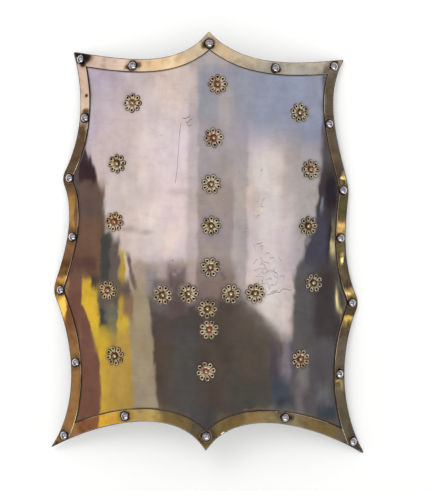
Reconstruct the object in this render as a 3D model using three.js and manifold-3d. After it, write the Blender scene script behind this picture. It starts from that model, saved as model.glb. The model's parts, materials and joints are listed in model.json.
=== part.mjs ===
// A scalloped heater shield: a rolled sheet of steel with six strips of brass edging, held by twenty
// dome-headed steel rivets, and twenty-two brass rosettes, each held by a small copper rivet. Twelve of
// the rosettes stand in a ring and ten of them draw a sword, point upwards. The shield lies on its back.
//
// The sheet and the edging are laid out flat, as they were cut: u runs across the sheet, v runs up it, and
// w is the height over its face. The flat shapes are then rolled round an axis that runs along v.
// Sizes are in millimetres. The part lies with its face up (+Z) and its crest towards +Y, and its origin is
// on the ground under the middle of its bounding box.
import * as THREE from "three";
import { mergeVertices } from "three/addons/utils/BufferGeometryUtils.js";
import Module from "manifold-3d";

const wasm = await Module();
wasm.setup();

// ---- driving dimensions -------------------------------------------------------------------------

const FACE_RADIUS = 440; // the face of the rolled sheet
const SHEET = 1.5; // thickness of the steel
const TRIM = 1; // thickness of the brass edging
const TRIM_INSET = 1.2; // the steel shows this far outside the brass
const TRIM_END_WIDTH = 18; // edging across the crest and the toe
const TRIM_SIDE_TOP = 15; // edging at the top of each side
const TRIM_SIDE_FOOT = 18; // edging at the foot of each side
const SEAM = 0.3; // gap where two strips of edging meet
const LIFT = 0.2; // clearance between pieces that lie on each other

const INNER_ROUNDING = 8; // the inner edge of the brass is rounded at the side cusps, as the corners are
const RIVET_INSET = 10; // edge of the sheet to a rivet in the middle of a scallop

const RIVET_HEAD = { radius: 6.3, height: 4.6 };
const RIVET_SHANK = 3;
const RIVET_TAIL = { radius: 4.4, height: 1.4 };
const STUD_HEAD = { radius: 2.9, height: 2.2 };
const STUD_SHANK = 1.8;
const STUD_TAIL = { radius: 2.9, height: 1 };
const HOLE_CLEARANCE = 0.3;

const ROSETTE_RADIUS = 14;
const ROSETTE_VALLEY = 7.5; // how far in the gaps between the petals reach
const ROSETTE_THICKNESS = 1.8;
const ROSETTE_SEAT = 2 * LIFT; // a flat rosette stands off the round face in its middle
const PETALS = 8;
const PETAL_HALF_ANGLE = 13; // degrees

const SCALLOP_SEGMENTS = 12;
// The sheet is rolled in flat facets, one of them down its middle. At this number, the backs of the second
// facet to the left and the third to the right are clear of every rivet tail, so things can be fixed there.
const ROLL_FACETS = 29;
const ROLL_HALF_ANGLE = 36; // degrees; wider than the sheet
const BEZIER_HANDLE = 0.36; // of a scallop's chord
const ROUNDING_STEP = 3.5; // a rounded corner has a point about this often
const BAND_OVERRUN = 40; // the area of a strip goes this far past the ends of its scallops
const BLANK_LENGTH = 700; // more than the length of the shield
const BLANK_DEPTH = 200; // more than its depth

// The corners, clockwise from the top left, at [u, v] on the flat sheet. A corner is rounded from rounding
// along both of its scallops, and its own rivet stands rivetIn from it.
const CORNERS = {
  topLeft: { at: [-212, 277], rounding: 2, rivetIn: 19 },
  crest: { at: [-4, 300], rounding: 1, rivetIn: 18 },
  topRight: { at: [202, 273], rounding: 2, rivetIn: 22 },
  rightUpper: { at: [216, 82], rounding: 13, rivetIn: 12 },
  rightLower: { at: [239, -84], rounding: 13, rivetIn: 15 },
  footRight: { at: [256, -312], rounding: 7, rivetIn: 33 },
  toe: { at: [4, -296], rounding: 1, rivetIn: 21 },
  footLeft: { at: [-239, -310], rounding: 3, rivetIn: 34 },
  leftLower: { at: [-241, -76], rounding: 13, rivetIn: 16 },
  leftUpper: { at: [-229, 91], rounding: 13, rivetIn: 16 },
};

// The scallops between them. bow gives the angles, in degrees, at which a scallop leaves and meets its
// chord, and rivetAt is how far along it its rivet stands.
const SCALLOPS = [
  { from: "topLeft", to: "crest", bow: [17, 47], rivetAt: 0.43, side: "top" },
  { from: "crest", to: "topRight", bow: [39, 18], rivetAt: 0.51, side: "top" },
  { from: "topRight", to: "rightUpper", bow: [36, 13], rivetAt: 0.51, side: "right" },
  { from: "rightUpper", to: "rightLower", bow: [15, 25], rivetAt: 0.41, side: "right" },
  { from: "rightLower", to: "footRight", bow: [32, 32], rivetAt: 0.45, side: "right" },
  { from: "footRight", to: "toe", bow: [25, 60], rivetAt: 0.51, side: "bottom" },
  { from: "toe", to: "footLeft", bow: [60, 25], rivetAt: 0.52, side: "bottom" },
  { from: "footLeft", to: "leftLower", bow: [39, 31], rivetAt: 0.56, side: "left" },
  { from: "leftLower", to: "leftUpper", bow: [17, 36], rivetAt: 0.48, side: "left" },
  { from: "leftUpper", to: "topLeft", bow: [29, 25], rivetAt: 0.49, side: "left" },
];

// The rosettes, at [u, v]: they were set out by eye, so no two rows are quite alike.
const ROSETTES = {
  ring_left: [[-113, 198], [-135, 111], [-137, 27], [-145, -72], [-132, -166]],
  ring_right: [[131, 190], [150, 109], [148, 27], [158, -55], [140, -165]],
  ring_crest: [[10, 225]],
  ring_toe: [[2, -183]],
  blade: [[6, 149], [4, 83], [5, 24], [5, -35]],
  guard: [[-62, -76], [-25, -73], [35, -72], [70, -71]],
  grip: [[2, -94], [5, -123.5]],
};
const ROSETTE_TURN = 67; // degrees from one rosette's own turn to the next one's

// The shield rests on these corners of its back.
const FEET = ["footRight", "leftLower", "topLeft"];
const FOOT_REACH = 20; // how far from its corner a foot may touch the ground

// ---- solids and geometries ----------------------------------------------------------------------

function solidOf(geometry) {
  const bare = geometry.index ? geometry.toNonIndexed() : geometry.clone();
  bare.deleteAttribute("normal");
  bare.deleteAttribute("uv");
  const merged = mergeVertices(bare, 1e-4);
  return new wasm.Manifold(
    new wasm.Mesh({
      numProp: 3,
      vertProperties: merged.attributes.position.array,
      triVerts: new Uint32Array(merged.index.array),
    }),
  );
}

function geometryOf(solid) {
  const mesh = solid.getMesh();
  const geometry = new THREE.BufferGeometry();
  geometry.setAttribute("position", new THREE.BufferAttribute(new Float32Array(mesh.vertProperties), 3));
  geometry.setIndex(new THREE.BufferAttribute(new Uint32Array(mesh.triVerts), 1));
  geometry.computeVertexNormals();
  return geometry;
}

const all = (solids) => solids.reduce((sum, solid) => sum.add(solid));

// ---- the flat outline ---------------------------------------------------------------------------

const vector = ([u, v]) => new THREE.Vector2(u, v);
const radians = THREE.MathUtils.degToRad;

// One scallop, a Bezier curve that bows inwards, on the right of the way from one corner to the next.
function scallopCurve({ from, to, bow: [leaves, meets] }) {
  const start = vector(CORNERS[from].at);
  const end = vector(CORNERS[to].at);
  const chord = end.clone().sub(start);
  const handle = (angle) =>
    chord.clone().multiplyScalar(BEZIER_HANDLE).rotateAround(new THREE.Vector2(), radians(angle));
  const middle = [start.clone().add(handle(-leaves)), end.clone().sub(handle(meets))];
  return new THREE.CubicBezierCurve(start, ...middle, end);
}

const curves = SCALLOPS.map(scallopCurve);

// The inward normal of a curve, clockwise being the way round.
function inward(curve, t) {
  const tangent = curve.getTangent(t);
  return new THREE.Vector2(tangent.y, -tangent.x);
}

// A scallop's points, moved inwards by a width that may change along it.
function insetScallop(curve, startWidth, endWidth = startWidth) {
  return Array.from({ length: SCALLOP_SEGMENTS + 1 }, (_, i) => {
    const t = i / SCALLOP_SEGMENTS;
    const width = THREE.MathUtils.lerp(startWidth, endWidth, t);
    return curve.getPoint(t).addScaledVector(inward(curve, t), width);
  });
}

// Where segments ab and cd cross, or null.
function crossing(a, b, c, d) {
  const ab = b.clone().sub(a);
  const cd = d.clone().sub(c);
  const across = ab.cross(cd);
  if (Math.abs(across) < 1e-9) return null;
  const ac = c.clone().sub(a);
  const s = ac.cross(cd) / across;
  const t = ac.cross(ab) / across;
  return s >= 0 && s <= 1 && t >= 0 && t <= 1 ? a.clone().addScaledVector(ab, s) : null;
}

// Cuts the end of one run of points and the start of the next at their crossing.
function trimTogether(first, second) {
  for (let i = first.length - 2; i >= 0; i--) {
    for (let j = 0; j < second.length - 1; j++) {
      const meet = crossing(first[i], first[i + 1], second[j], second[j + 1]);
      if (meet) {
        first.splice(i + 1, first.length, meet);
        second.splice(0, j + 1, meet.clone());
        return;
      }
    }
  }
}

// Drops the points of a run that lie within cut of its last point, and ends it at that distance.
function shortenEnd(run, cut) {
  const corner = run[run.length - 1];
  while (run.length > 2 && run[run.length - 2].distanceTo(corner) < cut) run.splice(run.length - 2, 1);
  const before = run[run.length - 2];
  run[run.length - 1] = corner.clone().lerp(before, cut / corner.distanceTo(before));
}

// Rounds the corner that two runs share with a quadratic curve, and returns the points between them.
function roundCorner(first, second, cut) {
  const corner = first[first.length - 1].clone();
  shortenEnd(first, cut);
  second.reverse();
  shortenEnd(second, cut);
  second.reverse();
  const curve = new THREE.QuadraticBezierCurve(first[first.length - 1], corner, second[0]);
  return curve.getPoints(Math.ceil(cut / ROUNDING_STEP)).slice(1, -1);
}

// Joins runs of points end to end, trimmed where they cross. roundings[i] is how far the corner after run
// i is rounded; a row that is not a loop has one rounding fewer than it has runs.
function joinRuns(runs, roundings) {
  const corners = roundings.map((cut, i) => {
    const next = runs[(i + 1) % runs.length];
    trimTogether(runs[i], next);
    return roundCorner(runs[i], next, cut);
  });
  return runs.flatMap((run, i) => [...run, ...(corners[i] ?? [])]);
}

const outline = (inset) =>
  joinRuns(
    curves.map((curve) => insetScallop(curve, inset)),
    SCALLOPS.map((scallop) => CORNERS[scallop.to].rounding),
  );

// ---- rolling ------------------------------------------------------------------------------------

// The point of the rolled sheet at [u, v], at height w over its face.
function rolled(u, v, w = 0) {
  const angle = u / FACE_RADIUS;
  const reach = FACE_RADIUS + w;
  return new THREE.Vector3(reach * Math.sin(angle), v, reach * Math.cos(angle) - FACE_RADIUS);
}

// A layer of rolled sheet between two heights over the face, larger than the shield.
function rolledLayer(low, high) {
  const angles = Array.from(
    { length: ROLL_FACETS + 1 },
    (_, i) => radians(ROLL_HALF_ANGLE) * ((2 * i) / ROLL_FACETS - 1),
  );
  const arc = (w) => angles.map((a) => rolled(a * FACE_RADIUS, 0, w)).map((p) => new THREE.Vector2(p.x, p.z));
  const section = new THREE.Shape([...arc(low), ...arc(high).reverse()]);
  const layer = new THREE.ExtrudeGeometry(section, { depth: BLANK_LENGTH, bevelEnabled: false });
  return solidOf(layer.rotateX(Math.PI / 2).translate(0, BLANK_LENGTH / 2, 0));
}

// A flat outline as an upright prism over the rolled sheet.
function prism(points) {
  const shape = new THREE.Shape(points.map((p) => rolled(p.x, p.y)).map((p) => new THREE.Vector2(p.x, p.y)));
  const block = new THREE.ExtrudeGeometry(shape, { depth: BLANK_DEPTH, bevelEnabled: false });
  return solidOf(block.translate(0, 0, -BLANK_DEPTH / 2));
}

// Stands an object on the face at [u, v], its own +Z along the sheet's outward normal.
function placeOn(object, [u, v]) {
  object.position.copy(rolled(u, v));
  object.rotation.set(0, u / FACE_RADIUS, 0);
  return object;
}

// A straight six-sided hole through everything at [u, v], clear of a shank of a radius.
function bore([u, v], shank) {
  const radius = (shank + HOLE_CLEARANCE) / Math.cos(Math.PI / 6);
  const drill = new THREE.CylinderGeometry(radius, radius, 12, 6).rotateX(Math.PI / 2);
  const place = placeOn(new THREE.Object3D(), [u, v]);
  place.updateMatrix();
  return solidOf(drill.applyMatrix4(place.matrix));
}

// ---- where the rivets stand ---------------------------------------------------------------------

function cornerRivet(name) {
  const arriving = curves[SCALLOPS.findIndex((s) => s.to === name)].getTangent(1);
  const leaving = curves[SCALLOPS.findIndex((s) => s.from === name)].getTangent(0);
  const bisector = leaving.sub(arriving).normalize();
  const { at, rivetIn } = CORNERS[name];
  return vector(at).addScaledVector(bisector, rivetIn).toArray();
}

function scallopRivet({ rivetAt }, curve) {
  return curve.getPoint(rivetAt).addScaledVector(inward(curve, rivetAt), RIVET_INSET).toArray();
}

const snake = (name) => name.replace(/[A-Z]/g, (letter) => "_" + letter.toLowerCase());
const rivets = [
  ...Object.keys(CORNERS).map((name) => ({ name: "rivet_" + snake(name), at: cornerRivet(name) })),
  ...SCALLOPS.map((scallop, i) => ({
    name: `rivet_${snake(scallop.from)}_to_${snake(scallop.to)}`,
    at: scallopRivet(scallop, curves[i]),
  })),
];
const rosettes = Object.entries(ROSETTES).flatMap(([group, places]) =>
  places.map((at, i) => ({ name: `rosette_${group}${places.length > 1 ? "_" + (i + 1) : ""}`, at })),
);
const boreHoles = all([
  ...rivets.map(({ at }) => bore(at, RIVET_SHANK)),
  ...rosettes.map(({ at }) => bore(at, STUD_SHANK)),
]);

// ---- the sheet and its edging -------------------------------------------------------------------

const plate = rolledLayer(-SHEET, 0).intersect(prism(outline(0))).subtract(boreHoles);

// Lengthens a run of points straight on at both its ends.
function lengthened(run) {
  const [first, second] = run;
  const [beforeLast, last] = run.slice(-2);
  return [
    first.clone().lerp(second, -BAND_OVERRUN / first.distanceTo(second)),
    ...run,
    last.clone().lerp(beforeLast, -BAND_OVERRUN / last.distanceTo(beforeLast)),
  ];
}

// The area within a strip's width of a row of scallops. The width goes evenly from one end of the row to
// the other. The area reaches past the sheet's edge and past both ends, so the sheet's outline cuts it.
function band(row, startWidth, endWidth = startWidth) {
  const side = row.map((scallop) => curves[SCALLOPS.indexOf(scallop)]);
  const widthAt = (i) => THREE.MathUtils.lerp(startWidth, endWidth, i / side.length);
  const inner = joinRuns(
    side.map((curve, i) => insetScallop(curve, widthAt(i), widthAt(i + 1))),
    side.slice(1).map(() => INNER_ROUNDING),
  );
  const outer = side.flatMap((curve) => insetScallop(curve, -TRIM_END_WIDTH / 2).slice(1, -1));
  return prism([...lengthened(outer), ...lengthened(inner).reverse()]);
}

const rowOf = (side) => SCALLOPS.filter((scallop) => scallop.side === side);
const rightSide = (extra) => band(rowOf("right"), TRIM_SIDE_TOP + extra, TRIM_SIDE_FOOT + extra);
const leftSide = (extra) => band(rowOf("left"), TRIM_SIDE_FOOT + extra, TRIM_SIDE_TOP + extra);

// An end strip stops at both side strips, and at the strip it meets in the middle if that one runs on.
function endStrip(scallop, runsOn) {
  const others = [leftSide(SEAM), rightSide(SEAM)];
  if (runsOn) others.push(band([runsOn], TRIM_END_WIDTH + SEAM));
  return band([scallop], TRIM_END_WIDTH).subtract(all(others));
}

const [topLeft, topRight] = rowOf("top");
const [bottomRight, bottomLeft] = rowOf("bottom");
const strips = {
  trim_left: leftSide(0),
  trim_right: rightSide(0),
  trim_top_left: endStrip(topLeft, topRight),
  trim_top_right: endStrip(topRight),
  trim_bottom_left: endStrip(bottomLeft, bottomRight),
  trim_bottom_right: endStrip(bottomRight),
};

const brassLayer = rolledLayer(LIFT, LIFT + TRIM).intersect(prism(outline(TRIM_INSET))).subtract(boreHoles);
const largestOf = (solid) => solid.decompose().sort((a, b) => b.volume() - a.volume())[0];

// ---- rivets and rosettes ------------------------------------------------------------------------

// A rivet on its own axis: z = 0 is the face of the sheet, and seat is what its head sits on.
function rivetGeometry(head, shank, tail, seat, sides) {
  const back = -SHEET - LIFT;
  const dome = [0, 0.55].map((rise) => {
    const angle = (rise * Math.PI) / 2;
    return new THREE.Vector2(head.radius * Math.cos(angle), seat + head.height * Math.sin(angle));
  });
  return new THREE.LatheGeometry(
    [
      new THREE.Vector2(0, back - tail.height),
      new THREE.Vector2(tail.radius * 0.8, back - tail.height),
      new THREE.Vector2(tail.radius, back),
      new THREE.Vector2(shank, back),
      new THREE.Vector2(shank, seat),
      ...dome,
      new THREE.Vector2(0, seat + head.height),
    ],
    sides,
  ).rotateX(Math.PI / 2);
}

// The rosette's outline: each petal is two shoulders, and the gap beside it a valley.
function rosetteGeometry() {
  const points = Array.from({ length: PETALS }, (_, i) => {
    const middle = (i / PETALS) * 360;
    const polar = (radius, angle) =>
      new THREE.Vector2(radius * Math.cos(radians(angle)), radius * Math.sin(radians(angle)));
    return [
      polar(ROSETTE_RADIUS, middle - PETAL_HALF_ANGLE),
      polar(ROSETTE_RADIUS, middle + PETAL_HALF_ANGLE),
      polar(ROSETTE_VALLEY, middle + 180 / PETALS),
    ];
  }).flat();
  const outline = new THREE.Shape(points);
  const disc = new THREE.ExtrudeGeometry(outline, { depth: ROSETTE_THICKNESS, bevelEnabled: false });
  const stud = rivetGeometry(STUD_HEAD, STUD_SHANK, STUD_TAIL, ROSETTE_SEAT + ROSETTE_THICKNESS - LIFT, 6);
  return geometryOf(solidOf(disc.translate(0, 0, ROSETTE_SEAT)).add(solidOf(stud)));
}

// ---- materials and the scene graph --------------------------------------------------------------

const steel = new THREE.MeshStandardMaterial({ color: 0xaaa6a8, roughness: 0.22, metalness: 1 });
const rivetSteel = new THREE.MeshStandardMaterial({ color: 0xc2c2c8, roughness: 0.16, metalness: 1 });
const brass = new THREE.MeshStandardMaterial({ color: 0xb5924e, roughness: 0.3, metalness: 1 });
const rosetteBrass = new THREE.MeshStandardMaterial({ color: 0xc9ad72, roughness: 0.32, metalness: 1 });

const shield = new THREE.Group();

function addMesh(name, geometry, material) {
  const mesh = new THREE.Mesh(geometry, material);
  mesh.name = name;
  shield.add(mesh);
  return mesh;
}

const sheet = addMesh("plate", geometryOf(plate), steel);

for (const [name, area] of Object.entries(strips)) {
  addMesh(name, geometryOf(largestOf(brassLayer.intersect(area))), brass);
}

const rivetShape = rivetGeometry(RIVET_HEAD, RIVET_SHANK, RIVET_TAIL, TRIM + 2 * LIFT, 8);
for (const { name, at } of rivets) {
  placeOn(addMesh(name, rivetShape, rivetSteel), at);
}

const rosetteShape = rosetteGeometry();
rosettes.forEach(({ name, at }, i) => {
  placeOn(addMesh(name, rosetteShape, rosetteBrass), at).rotateZ(radians(i * ROSETTE_TURN));
});

// ---- lying on its back --------------------------------------------------------------------------

// The lowest point of the sheet's back at one of its feet.
function footPoint(name, up) {
  const corner = rolled(...CORNERS[name].at, -SHEET);
  const positions = sheet.geometry.attributes.position;
  const point = (_, i) => new THREE.Vector3().fromBufferAttribute(positions, i);
  return Array.from({ length: positions.count }, point)
    .filter((point) => point.distanceTo(corner) < FOOT_REACH)
    .reduce((lowest, point) => (point.dot(up) < lowest.dot(up) ? point : lowest));
}

// Which points are lowest depends on how the shield lies, so a few passes settle it.
const up = new THREE.Vector3(0, 0, 1);
for (let pass = 0; pass < 3; pass++) {
  const ground = new THREE.Plane().setFromCoplanarPoints(...FEET.map((name) => footPoint(name, up)));
  up.copy(ground.normal).multiplyScalar(Math.sign(ground.normal.z));
}
shield.quaternion.setFromUnitVectors(up, new THREE.Vector3(0, 0, 1));

const box = new THREE.Box3().setFromObject(shield, true);
const middle = box.getCenter(new THREE.Vector3());
shield.position.set(-middle.x, -middle.y, -box.min.z);

const part = new THREE.Group();
part.add(shield);

export default part;
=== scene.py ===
import json
import math
import random
from dataclasses import dataclass

import bmesh
import bpy
import numpy as np
from mathutils import Matrix, Vector, kdtree, noise
from mathutils.geometry import delaunay_2d_cdt


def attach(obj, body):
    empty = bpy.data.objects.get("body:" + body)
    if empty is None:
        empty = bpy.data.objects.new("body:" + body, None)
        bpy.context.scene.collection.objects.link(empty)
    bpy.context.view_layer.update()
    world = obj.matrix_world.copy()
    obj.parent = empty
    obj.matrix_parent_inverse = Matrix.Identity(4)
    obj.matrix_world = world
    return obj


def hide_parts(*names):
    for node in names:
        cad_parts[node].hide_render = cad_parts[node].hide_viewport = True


# The shield is worked out on the flat sheet it was cut from, and then rolled: every flat point is (across,
# up, height over the sheet's face), in metres. What lies on the sheet is read from the CAD nodes.
MM = 0.001
FACE_RADIUS = 440 * MM
SHEET = 1.5 * MM
SEAT = 0.2 * MM  # clearance between the sheet and what lies on it
TRIM = 1.0 * MM
FACET = math.radians(72) / 29  # the CAD sheet's back is flat facets, so many across so wide an angle
MOUNT_UP = 53 * MM  # both mounts are this far up from the shield's middle
MOUNT_LEFT = -2  # the facet that the left one is on, counted from the middle one

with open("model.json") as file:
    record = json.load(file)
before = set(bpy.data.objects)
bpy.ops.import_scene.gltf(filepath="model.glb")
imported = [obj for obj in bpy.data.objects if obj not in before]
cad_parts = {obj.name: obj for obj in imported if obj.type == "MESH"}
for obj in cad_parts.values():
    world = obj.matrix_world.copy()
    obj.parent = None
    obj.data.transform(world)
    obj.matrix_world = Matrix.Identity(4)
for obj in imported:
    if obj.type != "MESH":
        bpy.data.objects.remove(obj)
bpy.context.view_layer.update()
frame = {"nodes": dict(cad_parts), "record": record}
NODES = frame["nodes"]


# ---- the rolled sheet ------------------------------------------------------------------------------------


def shield_matrix():
    """From the shield's own coordinates, +Z out of its crown line and +Y up it, to how it lies."""
    left, right = frame["record"]["mounts"]
    out_left, out_right = (-Vector(mount["axis"]).normalized() for mount in (left, right))
    up = out_left.cross(out_right).normalized()
    out = Matrix.Rotation(-MOUNT_LEFT * FACET, 3, up) @ out_left
    turn = Matrix((up.cross(out), up, out)).transposed()
    reach = (FACE_RADIUS - SHEET) * math.cos(FACET / 2)
    angle = MOUNT_LEFT * FACET
    own = Vector((reach * math.sin(angle), MOUNT_UP, reach * math.cos(angle) - FACE_RADIUS))
    return Matrix.Translation(Vector(left["pos_m"]) - turn @ own) @ turn.to_4x4()


SHIELD = shield_matrix()


def transformed(matrix, points):
    array = np.array(matrix)
    return points @ array[:3, :3].T + array[:3, 3]


def roll(flat):
    """Flat points, rolled into the shield's curve, where it lies."""
    flat = np.asarray(flat, float)
    angle = flat[:, 0] / FACE_RADIUS
    reach = FACE_RADIUS + flat[:, 2]
    own = np.column_stack([reach * np.sin(angle), flat[:, 1], reach * np.cos(angle) - FACE_RADIUS])
    return transformed(SHIELD, own)


def unroll(points):
    """The opposite of roll()."""
    own = transformed(SHIELD.inverted(), np.asarray(points, float))
    angle = np.arctan2(own[:, 0], own[:, 2] + FACE_RADIUS)
    reach = np.hypot(own[:, 0], own[:, 2] + FACE_RADIUS)
    return np.column_stack([angle * FACE_RADIUS, own[:, 1], reach - FACE_RADIUS])


def noise_at(points, wavelength, seed):
    """Smooth noise from -1 to 1 at flat points."""
    shift = Vector((seed * 3.7, seed * 1.3, seed * 2.1))
    return np.array([noise.noise(Vector((p[0], p[1], 0)) / wavelength + shift) for p in points])


def dents(points):
    """How far the sheet, and all that lies on it, strays from a true curve."""
    long_wave = 0.15 * MM * noise_at(points, 120 * MM, 1)
    return long_wave + 0.03 * MM * noise_at(points, 45 * MM, 2) + 0.004 * MM * noise_at(points, 14 * MM, 3)


# ---- outlines read from the CAD solids -------------------------------------------------------------------

FACE_WITHIN = 0.3 * MM  # the corners of a solid's upper facets are this near the round face
STRAIGHT = 0.7  # degrees; a loop that turns by less at a point runs straight through it
CORNER = 24  # degrees; a loop that turns by more has a corner there
LEAST_SPREAD = 0.4  # keeps an inset from running far out at a sharp corner
GRID_CLEARANCE = 0.6  # of the spacing; the points of a sheet's grid keep this far off its fixed points


def cad_points(node):
    return np.array([vertex.co for vertex in NODES[node].data.vertices], float)


def place_of(node):
    """Where a riveted piece stands on the flat sheet. Its solid is even all round its axis."""
    return unroll([np.unique(cad_points(node).round(6), axis=0).mean(0)])[0][:2]


def face_loops(node, height):
    """The closed outlines of a CAD node's upper face, the longest first, as flat points."""
    mesh = bmesh.new()
    mesh.from_mesh(NODES[node].data)
    bmesh.ops.remove_doubles(mesh, verts=mesh.verts, dist=1e-6)
    mesh.verts.index_update()
    flat = unroll([vertex.co for vertex in mesh.verts])
    is_upper = abs(flat[:, 2] - height) < FACE_WITHIN
    # A dict rather than a set, so that the loops start at the same points each run.
    upper = dict.fromkeys(face for face in mesh.faces if all(is_upper[vert.index] for vert in face.verts))
    following = {}
    for face in upper:
        for loop in face.loops:
            if loop.link_loop_radial_next.face not in upper:
                following[loop.vert.index] = loop.link_loop_next.vert.index
    loops = []
    while following:
        start, at = following.popitem()
        chain = [start]
        while at != start:
            chain.append(at)
            at = following.pop(at)
        loops.append(flat[chain, :2])
    mesh.free()
    return sorted(loops, key=perimeter, reverse=True)


def perimeter(loop):
    return np.linalg.norm(loop - np.roll(loop, -1, axis=0), axis=1).sum()


def unit(ways):
    return ways / np.linalg.norm(ways, axis=1)[:, None]


def left_of(ways):
    return np.column_stack([-ways[:, 1], ways[:, 0]])


def turns(loop):
    """How far a loop turns at each of its points, in degrees, and its direction before and after it."""
    before = unit(loop - np.roll(loop, 1, axis=0))
    after = np.roll(before, -1, axis=0)
    cosine = (before * after).sum(1).clip(-1, 1)
    return np.degrees(np.arccos(cosine)), before, after


def smoothed(loop, spacing):
    """A loop without the points on its straight runs, curved through the others, and sharp at corners."""
    loop = loop[turns(loop)[0] > STRAIGHT]
    angle, before, after = turns(loop)
    is_curve = (angle < CORNER)[:, None]
    leaving = unit(np.where(is_curve, before + after, after))
    arriving = unit(np.where(is_curve, before + after, before))
    curved = []
    for i, start in enumerate(loop):
        j = (i + 1) % len(loop)
        length = np.linalg.norm(loop[j] - start)
        steps = max(1, round(length / spacing))
        for t in np.arange(steps) / steps:
            curved.append(
                (2 * t**3 - 3 * t**2 + 1) * start
                + (t**3 - 2 * t**2 + t) * length * leaving[i]
                + (3 * t**2 - 2 * t**3) * loop[j]
                + (t**3 - t**2) * length * arriving[j]
            )
    return np.array(curved)


def inset(loop, by):
    """A loop moved to its left, which is into the material for outlines and for holes."""
    _, before, after = turns(loop)
    spread = 1 + (left_of(before) * left_of(after)).sum(1)
    return loop + by * (left_of(before) + left_of(after)) / spread.clip(LEAST_SPREAD)[:, None]


def inside(points, loop):
    """Which points are inside a loop."""
    result = np.zeros(len(points), bool)
    for (x0, y0), (x1, y1) in zip(loop, np.roll(loop, -1, axis=0)):
        if y0 == y1:
            continue
        spans = (points[:, 1] < y0) != (points[:, 1] < y1)
        result ^= spans & (points[:, 0] < x0 + (points[:, 1] - y0) * (x1 - x0) / (y1 - y0))
    return result


def distances(points, targets):
    """How far each point is from the nearest of the targets."""
    tree = kdtree.KDTree(len(targets))
    for i, target in enumerate(targets):
        tree.insert((target[0], target[1], 0), i)
    tree.balance()
    return np.array([tree.find((p[0], p[1], 0))[2] for p in points])


def triangulate(loops, spacing, extra=None):
    """Even triangles inside the first loop and outside the others: (points, triangles). The loops' points
    come first, in order, and then the extra points."""
    fixed = np.vstack([*loops] + ([extra] if extra is not None else []))
    low, high = loops[0].min(0), loops[0].max(0)
    rows = np.arange(low[1], high[1], spacing * math.sqrt(0.75))
    grid = np.array([
        (x + (row % 2) * spacing / 2, y)
        for row, y in enumerate(rows)
        for x in np.arange(low[0], high[0], spacing)
    ])
    grid = grid[inside(grid, loops[0])]
    grid = grid[distances(grid, fixed) > GRID_CLEARANCE * spacing]
    points = np.vstack([fixed, grid])
    edges = []
    start = 0
    for loop in loops:
        edges += [(start + i, start + (i + 1) % len(loop)) for i in range(len(loop))]
        start += len(loop)
    found = delaunay_2d_cdt([Vector(p) for p in points], edges, [], 0, 1e-9)
    points = np.array([list(p) for p in found[0]])
    triangles = np.array(found[2])
    middles = points[triangles].mean(1)
    keep = inside(middles, loops[0])
    for hole in loops[1:]:
        keep &= ~inside(middles, hole)
    return points, triangles[keep]


# ---- making pieces ---------------------------------------------------------------------------------------


def make_piece(name, points, faces, material, replaced=(), marks=None, sharp=50):
    """A piece from points where it lies, with marks, a value at each point for its material to read. Edges
    that turn by more than the sharp angle, in degrees, aren't shaded smooth."""
    mesh = bpy.data.meshes.new(name)
    mesh.from_pydata(points.tolist(), [], [list(face) for face in faces])
    mesh.polygons.foreach_set("use_smooth", [True] * len(mesh.polygons))
    mesh.set_sharp_from_angle(angle=math.radians(sharp))
    for mark, values in (marks or {}).items():
        mesh.attributes.new(mark, "FLOAT", "POINT").data.foreach_set("value", np.asarray(values, np.float32))
    mesh.materials.append(material)
    piece = bpy.data.objects.new(name, mesh)
    bpy.context.scene.collection.objects.link(piece)
    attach(piece, "root")
    if replaced:
        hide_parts(*replaced)
    return piece


def wall(loops, upper, lower):
    """The faces between two rows of the loops' points, given where each row starts."""
    faces = []
    start = 0
    for loop in loops:
        for i in range(len(loop)):
            here, following = start + i, start + (i + 1) % len(loop)
            faces.append((upper + following, upper + here, lower + here, lower + following))
        start += len(loop)
    return faces


def sheet_solid(loops, spacing, low, high, bevel, extra=None):
    """A sheet cut to loops between two heights, with its edges broken: (flat points, faces)."""
    inner = [inset(loop, bevel) for loop in loops]
    points, triangles = triangulate(inner, spacing, extra)
    rim = np.vstack(loops)
    places = np.vstack([points, points, rim, rim])
    counts = [len(points), len(points), len(rim), len(rim)]
    face, back, upper, lower = np.cumsum([0] + counts[:-1])
    faces = triangles.tolist() + (triangles[:, ::-1] + back).tolist()
    faces += wall(loops, face, upper) + wall(loops, upper, lower) + wall(loops, lower, back)
    heights = np.repeat([high, low, high - bevel, low + bevel], counts)
    return np.column_stack([places, heights + dents(places)]), faces


def lathe(profile, sides):
    """A closed solid turned round +Z from (radius, height) pairs that start and end on the axis."""
    points = [(0, 0, profile[0][1])]
    for radius, height in profile[1:-1]:
        for i in range(sides):
            angle = 2 * math.pi * i / sides
            points.append((radius * math.cos(angle), radius * math.sin(angle), height))
    points.append((0, 0, profile[-1][1]))
    faces = []
    rings = len(profile) - 2
    for i in range(sides):
        j = (i + 1) % sides
        faces.append((0, 1 + j, 1 + i))
        for ring in range(rings - 1):
            low, high = 1 + ring * sides, 1 + (ring + 1) * sides
            faces.append((low + i, low + j, high + j, high + i))
        faces.append((1 + (rings - 1) * sides + i, 1 + (rings - 1) * sides + j, len(points) - 1))
    return np.array(points), faces


def stand_on(points, place, lean=(0, 0)):
    """Points about +Z, stood on the sheet's face at a place, straight out of it but for a lean."""
    height = dents([place])[0]
    angle = place[0] / FACE_RADIUS
    spot = roll([(*place, height)])[0]
    turn = SHIELD.to_3x3() @ Matrix.Rotation(angle + lean[0], 3, "Y") @ Matrix.Rotation(lean[1], 3, "X")
    return transformed(Matrix.Translation(spot) @ turn.to_4x4(), points)


RIVETS = {name: place_of(name) for name in sorted(NODES) if name.startswith("rivet")}
ROSETTES = {name: place_of(name) for name in sorted(NODES) if name.startswith("rosette")}
STRIPS = {
    name: [smoothed(loop, 3 * MM) for loop in face_loops(name, SEAT + TRIM)]
    for name in sorted(NODES)
    if name.startswith("trim")
}


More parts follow.
